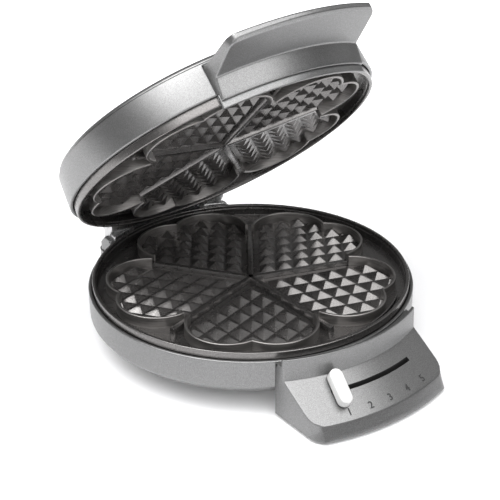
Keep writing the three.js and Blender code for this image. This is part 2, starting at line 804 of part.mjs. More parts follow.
const plateGeometry = meshFrom(wafflePlate());
const shieldGeometry = meshFrom(heatShield(12.5));
const lidShieldGeometry = meshFrom(heatShield(6));
const elementGeometry = heatingElement();
const lidSpace = (geometry) => clearOfHinge(solid(turnOver(geometry)));

piece(base, "base_shell", baseShell(), silver);
piece(base, "bottom_cover", bottomCover(), darkPlastic);
piece(base, "control_housing", controlHousing(), silver);
piece(base, "control_bottom_cover", controlCover(), darkPlastic);
piece(base, "rear_housing", rearHousing(), silver);
piece(base, "rear_bottom_cover", rearCover(), darkPlastic);
piece(base, "lower_plate", plateGeometry, nonStick);
piece(base, "lower_heating_element", elementGeometry, steel);
piece(base, "lower_heat_shield", shieldGeometry, sheetMetal);
piece(base, "thermostat_body", post(10.5, 19.6, PLATE_UNDER_Z - GAP, 0, 0, 28), ceramic);
piece(base, "thermal_fuse", barAlongX(3, [22, 42], -28, 26.4, 12), steel);
piece(base, "terminal_block", block([-13, 13], [55, 67], [5.8, 15.5]), ceramic);
piece(base, "cord_gland", cordGland(), rubber);
bothSides((side) => {
  const word = side < 0 ? "left" : "right";
  const pin = barAlongX(PIN_R, span(side, PIN_IN, KNUCKLE_OUT), HINGE_Y, HINGE_Z, 16);
  piece(base, `hinge_pin_${word}`, pin, steel);
});

// The feet: two under the control tab, two under the rear housing.
for (const [place, x, y] of [
  ["front_left", -40, -132],
  ["front_right", 40, -132],
  ["rear_left", -40, 112],
  ["rear_right", 40, 112],
]) {
  const foot = turned(
    [
      [0, 0],
      [5.6, 0],
      [6, FLOOR_CLEARANCE - GAP],
      [0, FLOOR_CLEARANCE - GAP],
    ],
    16,
  ).translate(x, y, 0);
  piece(base, `foot_${place}`, foot, rubber);
}

piece(base, "thermostat_spindle", post(3, 10.4, 19.3, 0, 0, 16), steel);
piece(base, "slider_lever", sliderLever(), sheetMetal);
piece(base, "slider_knob", sliderKnob(), knobPlastic);

const leads = {
  lead_terminal_to_thermostat: [
    [-6, 54.2, 12],
    [-8, 48, 15.5],
    [-9, 30, 16.8],
    [-8, 12, 17.4],
    [-6.5, 6, 18],
  ],
  lead_terminal_to_fuse: [
    [6, 54.2, 12],
    [30, 40, 16],
    [48, 6, 17.6],
    [50, -16, 17.8],
    [46, -27, 18],
  ],
};
for (const [name, points] of Object.entries(leads)) piece(base, name, lead(points), leadSleeve);

piece(lid, "lid_band", lidBand(), silver);
piece(lid, "lid_cover", lidCover(), silver);
piece(lid, "handle", handle(), silver);
piece(lid, "handle_trim", handleTrim(), silver);
piece(lid, "hinge_bracket", hingeBracket(), darkPlastic);
piece(lid, "upper_plate", lidSpace(plateGeometry), nonStick);
piece(lid, "upper_heating_element", turnOver(elementGeometry), steel);
piece(lid, "upper_heat_shield", lidSpace(lidShieldGeometry), sheetMetal);
lampPlaces((x, y) => {
  const name = x < 0 ? "power_lamp_lens" : "ready_lamp_lens";
  piece(lid, name, lampLens().translate(x, y, 0), x < 0 ? redLens : greenLens);
});

// Screws.
const number = (name, index) => `${name}_${index + 1}`;
const places = (placer) => placer((x, y) => [x, y]);
places(plateScrewPlaces).forEach(([x, y], index) => {
  const plateScrew = screw(LEDGE_FOOT - GAP, MOAT_Z - 1.6).translate(x, y, 0);
  piece(base, number("lower_plate_screw", index), plateScrew, steel);
  piece(lid, number("upper_plate_screw", index), turnOver(plateScrew), steel);
});
places(coverScrews).forEach(([x, y], index) => {
  piece(base, number("bottom_cover_screw", index), screw(2.7, 9.6, 3.4, 1.4).translate(x, y, 0), steel);
});
places(controlCoverScrews).forEach(([x, y], index) => {
  piece(base, number("control_cover_screw", index), screw(1.7, 8, 3.4, 1.2).translate(x, y, 0), steel);
});
places(rearCoverScrews).forEach(([x, y], index) => {
  piece(base, number("rear_cover_screw", index), screw(1.7, 8, 3.4, 1.2).translate(x, y, 0), steel);
});
const sideScrew = (tip) => screw(0, tip, 3.4, 1.8).rotateX(Math.PI / 2);
handleScrewTurns((turn) => {
  const name = turn < 0 ? "handle_screw_left" : "handle_screw_right";
  piece(lid, name, sideScrew(9).translate(0, -106.9, HANDLE_SCREW_Z).rotateZ(turn), steel);
});
bracketScrews((x) => {
  const name = x < 0 ? "bracket_screw_left" : "bracket_screw_right";
  piece(lid, name, sideScrew(10).rotateZ(Math.PI).translate(x, 106.3, BRACKET_SCREW_Z), steel);
});

export default waffleMaker;
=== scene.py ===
import json
import math

import bmesh
import bpy
from mathutils import Matrix, Vector
from mathutils.geometry import delaunay_2d_cdt


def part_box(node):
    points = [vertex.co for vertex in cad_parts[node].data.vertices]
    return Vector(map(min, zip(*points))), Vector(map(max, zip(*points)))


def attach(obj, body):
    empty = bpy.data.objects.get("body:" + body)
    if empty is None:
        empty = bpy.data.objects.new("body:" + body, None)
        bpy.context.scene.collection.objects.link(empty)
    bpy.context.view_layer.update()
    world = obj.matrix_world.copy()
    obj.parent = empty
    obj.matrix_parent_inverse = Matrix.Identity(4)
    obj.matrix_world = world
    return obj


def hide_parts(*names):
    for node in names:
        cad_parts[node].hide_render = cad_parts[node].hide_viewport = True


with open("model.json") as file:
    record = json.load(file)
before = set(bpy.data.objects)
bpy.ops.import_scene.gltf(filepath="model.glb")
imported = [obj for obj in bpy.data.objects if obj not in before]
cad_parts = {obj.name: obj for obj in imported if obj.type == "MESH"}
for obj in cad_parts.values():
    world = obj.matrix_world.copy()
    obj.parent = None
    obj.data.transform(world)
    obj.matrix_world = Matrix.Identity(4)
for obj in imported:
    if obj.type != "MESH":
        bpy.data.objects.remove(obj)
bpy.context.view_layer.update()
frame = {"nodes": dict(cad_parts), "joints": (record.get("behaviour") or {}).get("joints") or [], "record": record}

# A round waffle maker with five heart-shaped hollows, its lid standing open.
# Shapes are drawn in millimetres from the body's vertical axis, with the lid closed,
# and every piece is then put in its place in the frame, in metres.

MM = 0.001
scene = bpy.context.scene


def mm(node):
    """A CAD node's lowest and highest corner in millimetres, measured from the body's axis."""
    low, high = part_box(node)
    shift = Vector((0, AXIS_Y, 0))
    return (low - shift) / MM, (high - shift) / MM


def joint(name):
    return next(j for j in frame["joints"] if j["name"] == name)


# ---------- Sizes ----------

AXIS_Y = sum(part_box("base_shell")[i].y for i in (0, 1)) / 2
BODY_R = mm("base_shell")[1].x
BAND_TOP = mm("base_shell")[1].z
BAND_FOOT = 21
BOWL_FOOT = mm("base_shell")[0].z
PLATE_R = mm("lower_plate")[1].x
PLATE_UNDER = mm("lower_plate")[0].z
LIP_TOP = mm("lower_plate")[1].z
LIP_INNER_R = PLATE_R - 2.5
MOAT_Z = 36.5
HEART_FLOOR_Z = 37.2
WALL_TOP_Z = 44.6
MEETING_Z = 45

HINGE = Vector(joint("lid_hinge")["pos_m"])
HINGE_Y = (HINGE.y - AXIS_Y) / MM
HINGE_Z = HINGE.z / MM
LID_BAND_FOOT = 51
LID_BAND_TOP = 73.4
LID_TOP = 81.2

HEARTS = 5
HEART_STEP = 2 * math.pi / HEARTS
HALF_WEDGE = HEART_STEP / 2
FIRST_HEART = math.pi / 2
DIVIDER_HALF = 2.5
DIVIDER_TOP_Z = 40.2
DIVIDER_END_R = 88.2
LOBE_R = 26.3
LOBE_REACH = 98
HEART_WALL = 2
PYRAMID_SIDE = 12.9
PYRAMID_START_U = 9.8
PYRAMID_GROOVE = 0.9
PYRAMID_TOP_Z = 41

TAB_HALF = mm("control_housing")[1].x
TAB_FOOT_R = -mm("control_housing")[0].y
TAB_CORNER = 12
TAB_WALL_R = 119.4
TAB_WALL_TOP = mm("control_housing")[1].z
SLOPE_TOP = (119.9, 30)
SLOPE_FOOT = (146.7, 12.4)
SLOPE = math.atan2(SLOPE_TOP[1] - SLOPE_FOOT[1], SLOPE_FOOT[0] - SLOPE_TOP[0])
HOUSING_FOOT = mm("control_housing")[0].z
SLOT_R = 129.8
SLOT_HALF = 1.3
SLOT_REACH = math.radians(14.3)
KNOB_ANGLE = math.radians(-102.2)
DIGIT_R = 142.7
DIGIT_STEP = math.radians(6.2)
DIGIT_MIDDLE = math.radians(-89.2)
DIGIT_HEIGHT = 4.7
DIGIT_SHARE = 0.7

REAR_HALF = mm("rear_housing")[1].x
REAR_R = mm("rear_housing")[1].y
REAR_CORNER = 10
SADDLE_Z = 31.5
TOWER_IN = 29.2
TOWER_OUT = 53
KNUCKLE_OUT = 50
KNUCKLE_R = mm("rear_housing")[1].z - HINGE_Z
BARREL_HALF = mm("hinge_bracket")[1].x
BARREL_R = 6.2
PIN_R = 2.6
SCREW_R = 1.8
RECESS_HALF = 0.35
RECESS_REACH = 1.9

ROUND_STEPS = 192
SHARP = math.radians(38)
FRONT, REAR = -1, 1

base_place = Matrix.Translation((0, AXIS_Y, 0)) @ Matrix.Scale(MM, 4)
lid_swing = Matrix.Rotation(
    -math.radians(joint("lid_hinge")["range_deg"][0]), 4, Vector(joint("lid_hinge")["axis"])
)
lid_place = Matrix.Translation(HINGE) @ lid_swing @ Matrix.Translation(-HINGE) @ base_place
turned_over = Matrix.Translation((0, 0, 2 * MEETING_Z)) @ Matrix.Rotation(math.pi, 4, "Y")


# ---------- Camera, light and floor ----------


def direction(azimuth, elevation):
    """From the object towards a viewer; azimuth 0 looks along +Y."""
    a, e = math.radians(azimuth), math.radians(elevation)
    return Vector((math.sin(a) * math.cos(e), -math.cos(a) * math.cos(e), math.sin(e)))


def facing(back, roll=0.0):
    """The rotation of a camera or light that looks along -back."""
    right = Vector((0, 0, 1)).cross(back).normalized()
    up = back.cross(right)
    turn = Matrix((right, up, back)).transposed()
    return (turn @ Matrix.Rotation(math.radians(roll), 3, "Z")).to_euler()


def make_camera():
    """The view: distances in millimetres from a point on the body's axis."""
    azimuth, elevation, roll = -36.4, 27.07, -0.425
    distance, across, above = 861.6, -0.373, 17.993
    back = direction(azimuth, elevation)
    right = Vector((0, 0, 1)).cross(back).normalized()
    target = Vector((0, 0, 40)) + right * across + back.cross(right) * above
    data = bpy.data.cameras.new("camera")
    data.sensor_width = 36
    data.lens = 89.4
    camera = bpy.data.objects.new("camera", data)
    camera.location = base_place @ (target + back * distance)
    camera.rotation_euler = facing(back, roll)
    scene.collection.objects.link(camera)
    scene.camera = camera


def add_light(name, azimuth, elevation, distance, width, height, watts):
    """A softbox that points at the object."""
    data = bpy.data.lights.new(name, "AREA")
    data.shape = "RECTANGLE"
    data.size, data.size_y = width, height
    data.energy = watts
    light = bpy.data.objects.new(name, data)
    back = direction(azimuth, elevation)
    light.location = Vector((0, 0, 0.08)) + back * distance
    light.rotation_euler = facing(back)
    scene.collection.objects.link(light)


def make_studio():
    scene.view_settings.view_transform = "Standard"
    add_light("key_softbox", -28, 64, 1.4, 2.3, 2.0, 46)
    add_light("left_softbox", -108, 56, 1.4, 0.9, 1.0, 11)
    add_light("side_softbox", 85, 30, 1.5, 0.8, 0.8, 0.9)
    make_world()
    make_floor()


def make_world():
    """White behind the object, and a weak even light on it."""
    world = bpy.data.worlds.new("studio")
    world.use_nodes = True
    background = world.node_tree.nodes["Background"]
    background.inputs["Color"].default_value = (1, 1, 1, 1)
    path = world.node_tree.nodes.new("ShaderNodeLightPath")
    strength = world.node_tree.nodes.new("ShaderNodeMapRange")
    strength.inputs["To Min"].default_value = 0.2
    strength.inputs["To Max"].default_value = 1
    world.node_tree.links.new(path.outputs["Is Camera Ray"], strength.inputs["Value"])
    world.node_tree.links.new(strength.outputs["Result"], background.inputs["Strength"])
    scene.world = world


def make_floor():
    """A pale floor that fades to plain white away from the object."""
    mesh = bpy.data.meshes.new("floor")
    reach = 4
    corners = [(-reach, -reach, 0), (reach, -reach, 0), (reach, reach, 0), (-reach, reach, 0)]
    mesh.from_pydata(corners, [], [(0, 1, 2, 3)])
    floor = bpy.data.objects.new("floor", mesh)
    scene.collection.objects.link(floor)
    material, nodes, links, shader = new_material("floor_white", (0.86, 0.86, 0.87), 0.32, 0)
    shader.inputs["Emission Color"].default_value = (1, 1, 1, 1)
    spot = nodes.new("ShaderNodeTexCoord")
    away = nodes.new("ShaderNodeVectorMath")
    away.operation = "LENGTH"
    links.new(spot.outputs["Object"], away.inputs[0])
    glow = shader.inputs["Emission Strength"]
    link_ramp(nodes, links, away.outputs["Value"], glow, 0.12, 1, 0.15, 0.8)
    mottle = add_noise(nodes, links, 3, 2)
    link_ramp(nodes, links, mottle, shader.inputs["Roughness"], 0.28, 0.36)
    mesh.materials.append(material)


# ---------- Materials ----------


def new_material(name, color, roughness, metallic):
    material = bpy.data.materials.new(name)
    material.use_nodes = True
    nodes, links = material.node_tree.nodes, material.node_tree.links
    shader = nodes["Principled BSDF"]
    shader.inputs["Base Color"].default_value = (*color, 1)
    shader.inputs["Roughness"].default_value = roughness
    shader.inputs["Metallic"].default_value = metallic
    return material, nodes, links, shader


def add_noise(nodes, links, scale, detail, stretch=(1, 1, 1)):
    """Noise in object coordinates; scale is in features per metre, near enough."""
    coordinates = nodes.new("ShaderNodeTexCoord")
    mapping = nodes.new("ShaderNodeMapping")
    mapping.inputs["Scale"].default_value = stretch
    noise = nodes.new("ShaderNodeTexNoise")
    noise.inputs["Scale"].default_value = scale
    noise.inputs["Detail"].default_value = detail
    links.new(coordinates.outputs["Object"], mapping.inputs["Vector"])
    links.new(mapping.outputs["Vector"], noise.inputs["Vector"])
    return noise.outputs["Fac"]


def link_ramp(nodes, links, factor, socket, low, high, start=0.3, end=0.7):
    """Drives a number socket between two values."""
    spread = nodes.new("ShaderNodeMapRange")
    spread.inputs["From Min"].default_value = start
    spread.inputs["From Max"].default_value = end
    spread.inputs["To Min"].default_value = low
    spread.inputs["To Max"].default_value = high
    links.new(factor, spread.inputs["Value"])
    links.new(spread.outputs["Result"], socket)


def link_colors(nodes, links, factor, socket, stops):
    """Drives a colour socket through a ramp of (position, colour) stops."""
    ramp = nodes.new("ShaderNodeValToRGB")
    elements = ramp.color_ramp.elements
    while len(elements) < len(stops):
        elements.new(0.5)
    for element, (position, color) in zip(elements, stops):
        element.position = position
        element.color = (*color, 1)
    links.new(factor, ramp.inputs["Fac"])
    links.new(ramp.outputs["Color"], socket)


def link_bump(nodes, links, factor, shader, strength, depth):
    bump = nodes.new("ShaderNodeBump")
    bump.inputs["Strength"].default_value = strength
    bump.inputs["Distance"].default_value = depth
    links.new(factor, bump.inputs["Height"])
    links.new(bump.outputs["Normal"], shader.inputs["Normal"])


def grey(value):
    return (value, value, value)


def silver_paint():
    """Metallic silver paint: fine flake, with a thin clear coat."""
    material, nodes, links, shader = new_material("silver_paint", grey(0.215), 0.36, 0.94)
    flake = add_noise(nodes, links, 2300, 1)
    stops = [(0.3, grey(0.165)), (0.5, grey(0.215)), (0.72, grey(0.275))]
    link_colors(nodes, links, flake, shader.inputs["Base Color"], stops)
    cloud = add_noise(nodes, links, 900, 3)
    link_ramp(nodes, links, cloud, shader.inputs["Roughness"], 0.3, 0.42)
    link_bump(nodes, links, flake, shader, 0.1, 0.00003)
    shader.inputs["Coat Weight"].default_value = 0.12
    shader.inputs["Coat Roughness"].default_value = 0.18
    return material


def bright_metal():
    """The hinge's bars, knuckles and pins."""
    material, nodes, links, shader = new_material("bright_metal", grey(0.55), 0.3, 1)
    streaks = add_noise(nodes, links, 900, 3, (1, 1, 0.1))
    link_ramp(nodes, links, streaks, shader.inputs["Roughness"], 0.22, 0.38)
    link_bump(nodes, links, streaks, shader, 0.1, 0.00003)
    return material


def non_stick():
    """Dark brown-grey non-stick coating, satin, with a fine speckle."""
    material, nodes, links, shader = new_material("non_stick", (0.19, 0.184, 0.181), 0.3, 0.93)
    speckle = add_noise(nodes, links, 1500, 3)
    stops = [(0.35, (0.15, 0.144, 0.141)), (0.65, (0.21, 0.203, 0.2)), (0.8, (0.26, 0.253, 0.248))]
    link_colors(nodes, links, speckle, shader.inputs["Base Color"], stops)
    patches = add_noise(nodes, links, 60, 4)
    link_ramp(nodes, links, patches, shader.inputs["Roughness"], 0.22, 0.32)
    link_bump(nodes, links, speckle, shader, 0.12, 0.00004)
    return material


def machined_coating():
    """The same coating made lighter on the heart walls, painted sheen for the light they catch, with fine level
    lines.
    """
    material, nodes, links, shader = new_material("painted_sheen_coating", (0.26, 0.25, 0.245), 0.32, 0.93)
    lines = add_noise(nodes, links, 40, 3, (1, 1, 70))
    stops = [(0.35, (0.2, 0.19, 0.186)), (0.65, (0.32, 0.31, 0.3))]
    link_colors(nodes, links, lines, shader.inputs["Base Color"], stops)
    link_ramp(nodes, links, lines, shader.inputs["Roughness"], 0.3, 0.45)
    link_bump(nodes, links, lines, shader, 0.6, 0.0001)
    return material


def moulded(name, color, roughness, grain=0.12, specular=0.5):
    """Moulded plastic or rubber with a fine grain."""
    material, nodes, links, shader = new_material(name, color, roughness, 0)
    cells = add_noise(nodes, links, 1600, 3)
    link_bump(nodes, links, cells, shader, grain, 0.00008)
    tone = add_noise(nodes, links, 45, 3)
    darker, lighter = [tuple(c * f for c in color) for f in (0.86, 1.12)]
    stops = [(0.35, darker), (0.65, lighter)]
    link_colors(nodes, links, tone, shader.inputs["Base Color"], stops)
    link_ramp(nodes, links, cells, shader.inputs["Roughness"], roughness - 0.06, roughness + 0.06)
    shader.inputs["Specular IOR Level"].default_value = specular
    return material


def metal(name, color, roughness, grain_scale=1200):
    """Plain machined or rolled metal."""
    material, nodes, links, shader = new_material(name, color, roughness, 1)
    streaks = add_noise(nodes, links, grain_scale, 4, (1, 0.15, 1))
    link_ramp(nodes, links, streaks, shader.inputs["Roughness"], roughness - 0.08, roughness + 0.08)
    link_bump(nodes, links, streaks, shader, 0.12, 0.00003)
    darker = tuple(c * 0.8 for c in color)
    link_colors(nodes, links, streaks, shader.inputs["Base Color"], [(0.3, darker), (0.7, color)])
    return material


def lens(name, color):
    """Coloured clear plastic over a lamp."""
    material, nodes, links, shader = new_material(name, color, 0.12, 0)
    ripple = add_noise(nodes, links, 500, 2)
    darker = tuple(c * 0.6 for c in color)
    link_colors(nodes, links, ripple, shader.inputs["Base Color"], [(0.3, darker), (0.7, color)])
    link_bump(nodes, links, ripple, shader, 0.1, 0.0001)
    shader.inputs["Coat Weight"].default_value = 0.5
    shader.inputs["Coat Roughness"].default_value = 0.05
    return material


# ---------- Mesh building ----------


def circle(radius, count):
    """A round outline."""
    angles = [2 * math.pi * k / count for k in range(count)]
    return [(radius * math.cos(a), radius * math.sin(a)) for a in angles]


def middle_of(low, high):
    """The move to the middle of a box, seen from above."""
    return Matrix.Translation(((low.x + high.x) / 2, (low.y + high.y) / 2, 0))


def rounded(corners, steps=4):
    """A closed outline from (x, y, radius) corners, with an arc at each."""
    points = []
    for i, (x, y, radius) in enumerate(corners):
        here = Vector((x, y))
        if radius <= 0:
            points.append((x, y))
            continue
        before = (Vector(corners[i - 1][:2]) - here).normalized()
        after = (Vector(corners[(i + 1) % len(corners)][:2]) - here).normalized()
        half = before.angle(after) / 2
        centre = here + (before + after).normalized() * (radius / math.sin(half))
        reach = radius / math.tan(half)
        start, end = here + before * reach - centre, here + after * reach - centre
        turn = math.atan2(start.x * end.y - start.y * end.x, start.dot(end))
        for k in range(steps + 1):
            arm = Matrix.Rotation(turn * k / steps, 2) @ start
            points.append(tuple(centre + arm))
    return points


def split_long(outline, longest):
    """The same closed outline with no edge longer than a limit."""
    points = []
    for i, here in enumerate(outline):
        there = outline[(i + 1) % len(outline)]
        count = max(1, math.ceil(math.dist(here, there) / longest))
        for k in range(count):
            points.append(tuple(Vector(here).lerp(Vector(there), k / count)))
    return points


def inset(outline, distance):
    """A closed outline moved inwards."""
    count = len(outline)
    area = sum(
        outline[i - 1][0] * outline[i][1] - outline[i][0] * outline[i - 1][1] for i in range(count)
    )
    side = math.copysign(distance, area)
    moved = []
    for i, (x, y) in enumerate(outline):
        along = (Vector(outline[(i + 1) % count]) - Vector(outline[i - 1])).normalized()
        moved.append((x - along.y * side, y + along.x * side))
    return moved


def bridge(bm, one, other, closed=True):
    """Faces between two rows of vertices."""
    count = len(one)
    for i in range(count if closed else count - 1):
        j = (i + 1) % count
        bm.faces.new((one[i], one[j], other[j], other[i]))


def add_cap(bm, row, outline):
    """Closes a row of vertices whose flat outline is given."""
    coords = [Vector(p) for p in outline]
    _, _, faces, sources, *_ = delaunay_2d_cdt(coords, [], [list(range(len(coords)))], 1, 1e-5)
    for face in faces:
        corners = [row[sources[v][0]] for v in face if sources[v]]
        if len(set(corners)) == 3:
            bm.faces.new(corners)


def add_ring(bm, outline, steps=ROUND_STEPS, place=Matrix()):
    """Turns an outline of (radius, height) points about the vertical axis."""
    on_axis = abs(outline[0][0]) < 1e-6 and abs(outline[-1][0]) < 1e-6
    rows = []
    for k in range(steps):
        c, s = math.cos(2 * math.pi * k / steps), math.sin(2 * math.pi * k / steps)
        rows.append([bm.verts.new(place @ Vector((r * c, r * s, z))) for r, z in outline])
    for k in range(steps):
        bridge(bm, rows[k], rows[(k + 1) % steps], closed=not on_axis)


def add_arc(bm, outline, start, end, steps, place=Matrix()):
    """Sweeps an outline of (radius, height) points from one angle to another."""
    rows = []
    for k in range(steps + 1):
        a = start + (end - start) * k / steps
        c, s = math.cos(a), math.sin(a)
        rows.append([bm.verts.new(place @ Vector((r * c, r * s, z))) for r, z in outline])
    for one, other in zip(rows, rows[1:]):
        bridge(bm, one, other)
    add_cap(bm, rows[0], outline)
    add_cap(bm, rows[-1], outline)


def add_sweep(bm, outline, from_x, to_x, side, edge=0.7, steps=56, longest=3.0):
    """Sweeps an outline of (radius, height) points round the body between two upright sides.

    from_x and to_x give the two sides' x for a radius; edge is the rounding of the sides' edges.
    """
    outline = split_long(outline, longest)
    bend = 4
    columns = []
    for k in range(bend):
        t = math.pi / 2 * k / bend
        columns.append((0, edge * (1 - math.cos(t)), edge * (1 - math.sin(t))))
    columns += [(k / steps, edge, 0) for k in range(steps + 1)]
    for k in reversed(range(bend)):
        t = math.pi / 2 * k / bend
        columns.append((1, edge * (1 - math.cos(t)), edge * (1 - math.sin(t))))
    rows = []
    for share, back_off, shrink in columns:
        row = []
        for r, z in inset(outline, shrink) if shrink else outline:
            first = math.asin((from_x(r, z) + back_off) / r)
            last = math.asin((to_x(r, z) - back_off) / r)
            a = first + (last - first) * share
            row.append(bm.verts.new((r * math.sin(a), side * r * math.cos(a), z)))
        rows.append(row)
    for one, other in zip(rows, rows[1:]):
        bridge(bm, one, other)
    end_outline = inset(outline, edge)
    add_cap(bm, rows[0], end_outline)
    add_cap(bm, rows[-1], end_outline)


def add_stack(bm, outline, levels, place=Matrix()):
    """Stacks copies of a closed (x, y) outline; levels are (height, inset) pairs."""
    rows = []
    for z, shrink in levels:
        points = inset(outline, shrink) if shrink else outline
        rows.append([bm.verts.new(place @ Vector((x, y, z))) for x, y in points])
    for one, other in zip(rows, rows[1:]):
        bridge(bm, one, other)
    add_cap(bm, rows[0], inset(outline, levels[0][1]))
    add_cap(bm, rows[-1], inset(outline, levels[-1][1]))


def soft_levels(low, high, edge, steps=3):
    """Levels of a slab from low to high with both of its edges rounded."""
    bends = [math.pi / 2 * k / steps for k in range(steps + 1)]
    lower = [(low + edge * (1 - math.sin(t)), edge * (1 - math.cos(t))) for t in reversed(bends)]
    upper = [(high - edge * (1 - math.sin(t)), edge * (1 - math.cos(t))) for t in bends]
    return [*lower, *upper]


def corner_half(half, corner, reach):
    """Half width of a plan with rounded outer corners, as a function of the radius."""
    centre_x = half - corner
    centre_r = reach - corner
    straight_to = math.hypot(half, math.sqrt(centre_r**2 - centre_x**2))
    bearing = math.asin(centre_x / centre_r)

    def width(r, z=0):
        if r <= straight_to:
            return half
        if r >= reach:
            return r * math.sin(bearing)
        lean = math.acos((r * r + centre_r**2 - corner**2) / (2 * r * centre_r))
        return r * math.sin(bearing + lean)

    return width


def both_ways(width):
    """The two sides of a sweep that is as wide to the left as to the right."""
    return (lambda r, z: -width(r, z)), width


def upright(x):
    """A side of a sweep that stands at one x."""
    return lambda r, z: x


def add_piece(bm, name, materials, body, nodes):
    """Makes a mesh, drawn in millimetres with the lid closed, into a piece of the object."""
    bmesh.ops.remove_doubles(bm, verts=bm.verts, dist=1e-4)
    bmesh.ops.dissolve_degenerate(bm, edges=bm.edges, dist=1e-5)
    bmesh.ops.recalc_face_normals(bm, faces=bm.faces)
    bm.transform(lid_place if body == "lid" else base_place)
    mesh = bpy.data.meshes.new(name)
    bm.to_mesh(mesh)
    bm.free()
    return add_object(mesh, name, materials, body, nodes)


def add_object(mesh, name, materials, body, nodes):
    """Shows a mesh as a piece of a body, in place of the CAD nodes given."""
    mesh.shade_smooth()
    mesh.set_sharp_from_angle(angle=SHARP)
    mesh.materials.clear()
    for material in materials:
        mesh.materials.append(material)
    piece = bpy.data.objects.new(name, mesh)
    scene.collection.objects.link(piece)
    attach(piece, body)
    if nodes:
        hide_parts(*nodes)
    return piece


def carve(piece, cutter_bm):
    """Cuts a shape, drawn in millimetres, out of a piece of the base."""
    bmesh.ops.recalc_face_normals(cutter_bm, faces=cutter_bm.faces)
    cutter_bm.transform(base_place)
    mesh = bpy.data.meshes.new("cutter")
    cutter_bm.to_mesh(mesh)
    cutter_bm.free()
    cutter = bpy.data.objects.new("cutter", mesh)
    scene.collection.objects.link(cutter)
    modifier = piece.modifiers.new("cut", "BOOLEAN")
    modifier.object = cutter
    modifier.solver = "EXACT"
    graph = bpy.context.evaluated_depsgraph_get()
    carved = bpy.data.meshes.new_from_object(piece.evaluated_get(graph))
    piece.modifiers.clear()
    piece.data = carved
    bpy.data.objects.remove(cutter)
    carved.set_sharp_from_angle(angle=SHARP)


# ---------- Waffle plates ----------

LOBE_FROM_CENTRE = LOBE_REACH - LOBE_R
LOBE_BEARING = HALF_WEDGE - math.asin((DIVIDER_HALF + LOBE_R) / LOBE_FROM_CENTRE)
LOBE_U = LOBE_FROM_CENTRE * math.cos(LOBE_BEARING)
LOBE_V = LOBE_FROM_CENTRE * math.sin(LOBE_BEARING)


def heart(grow=0.0, steps=18):
    """Outline of a heart along +X with its point by the plate's centre."""
    r = LOBE_R + grow
    shoulder = HALF_WEDGE + math.pi / 2
    cleft = math.asin(LOBE_V / r)
    upper = []
    for k in range(steps + 1):
        a = -cleft + (shoulder + cleft) * k / steps
        upper.append((LOBE_U + r * math.cos(a), LOBE_V + r * math.sin(a)))
    apex = (DIVIDER_HALF - grow) / math.sin(HALF_WEDGE)
    lower = [(u, -v) for u, v in reversed(upper)]
    return [*upper, (apex, 0), *lower[:-1]]


def spill(u, v):
    """How far a point lies outside the heart; negative inside."""
    across = abs(v)
    past_side = DIVIDER_HALF - (u * math.sin(HALF_WEDGE) - across * math.cos(HALF_WEDGE))
    bearing = math.atan2(across - LOBE_V, u - LOBE_U)
    if -math.asin(LOBE_V / LOBE_R) < bearing < HALF_WEDGE + math.pi / 2:
        return max(past_side, math.hypot(u - LOBE_U, across - LOBE_V) - LOBE_R)
    return past_side


def pulled_in(u, v):
    """The point itself, or where the heart's wall stops it."""
    if spill(u, v) <= 0:
        return u, v
    side = math.copysign(1, v)
    arm = Vector((u - LOBE_U, abs(v) - LOBE_V))
    if arm.length > LOBE_R:
        arm *= LOBE_R / arm.length
    u, across = LOBE_U + arm.x, max(LOBE_V + arm.y, 0)
    if u > LOBE_U and across == 0:
        u = LOBE_U + math.sqrt(LOBE_R**2 - LOBE_V**2)
    return u, side * across


def pyramid_ring(scale, corner, side_points):
    """A square ring with rounded corners in the grid's own two directions."""
    round_off = min(corner, scale * 0.9)
    flat = scale - round_off
    ring = []
    for quarter in range(4):
        turn = Matrix.Rotation(math.pi / 2 * quarter, 2)
        for k in range(4):
            a = math.pi / 2 * k / 3
            arm = Vector((flat + round_off * math.cos(a), flat + round_off * math.sin(a)))
            ring.append(turn @ arm)
        for k in range(1, side_points + 1):
            share = 1 - 2 * k / (side_points + 1)
            ring.append(turn @ Vector((flat * share, scale)))
    return ring


def add_pyramid(bm, i, j, place):
    """One pyramid of a heart's grid, stopped by the heart's wall where it meets it."""
    half = PYRAMID_SIDE / 2
    one = Vector((math.cos(HALF_WEDGE), math.sin(HALF_WEDGE))) * half
    other = Vector((one.x, -one.y))
    centre = Vector((PYRAMID_START_U, 0)) + one * (2 * i + 1) + other * (2 * j + 1)
    groove = 1 - PYRAMID_GROOVE / (PYRAMID_SIDE * math.sin(HEART_STEP))
    corners = [centre + one * a + other * b for a in (-1, 1) for b in (-1, 1)]
    spills = [spill(*corner) for corner in corners]
    if min(spills) > -0.8 and spill(*centre) > -1.5:
        return
    whole = max(spills) < 0.1
    levels = (1, 0.7, 0.4, 0.12) if whole else (1, 0.86, 0.72, 0.58, 0.44, 0.3, 0.17, 0.08)
    height = PYRAMID_TOP_Z - HEART_FLOOR_Z
    rows = []
    for level in levels:
        row = []
        for a, b in pyramid_ring(level, 0.055, 1 if whole else 5):
            spot = centre + (one * a + other * b) * groove
            u, v = pulled_in(*spot)
            z = HEART_FLOOR_Z + height * (1 - level)
            if (u, v) != tuple(spot):
                from_centre = (Vector((u, v)) - centre) / groove
                x = from_centre.x / one.x / 2
                y = from_centre.y / one.y / 2
                z = HEART_FLOOR_Z + height * (1 - min(1, max(abs(x + y), abs(x - y))))
            row.append(bm.verts.new(place @ Vector((u, v, z - 0.06))))
        rows.append(row)
    for lower, upper in zip(rows, rows[1:]):
        bridge(bm, lower, upper)
    if spill(*centre) < 0:
        tip = bm.verts.new(place @ Vector((*centre, PYRAMID_TOP_Z - 0.3)))
        last = rows[-1]
        for k, corner in enumerate(last):
            bm.faces.new((corner, last[(k + 1) % len(last)], tip))
    else:
        bm.faces.new(rows[-1])


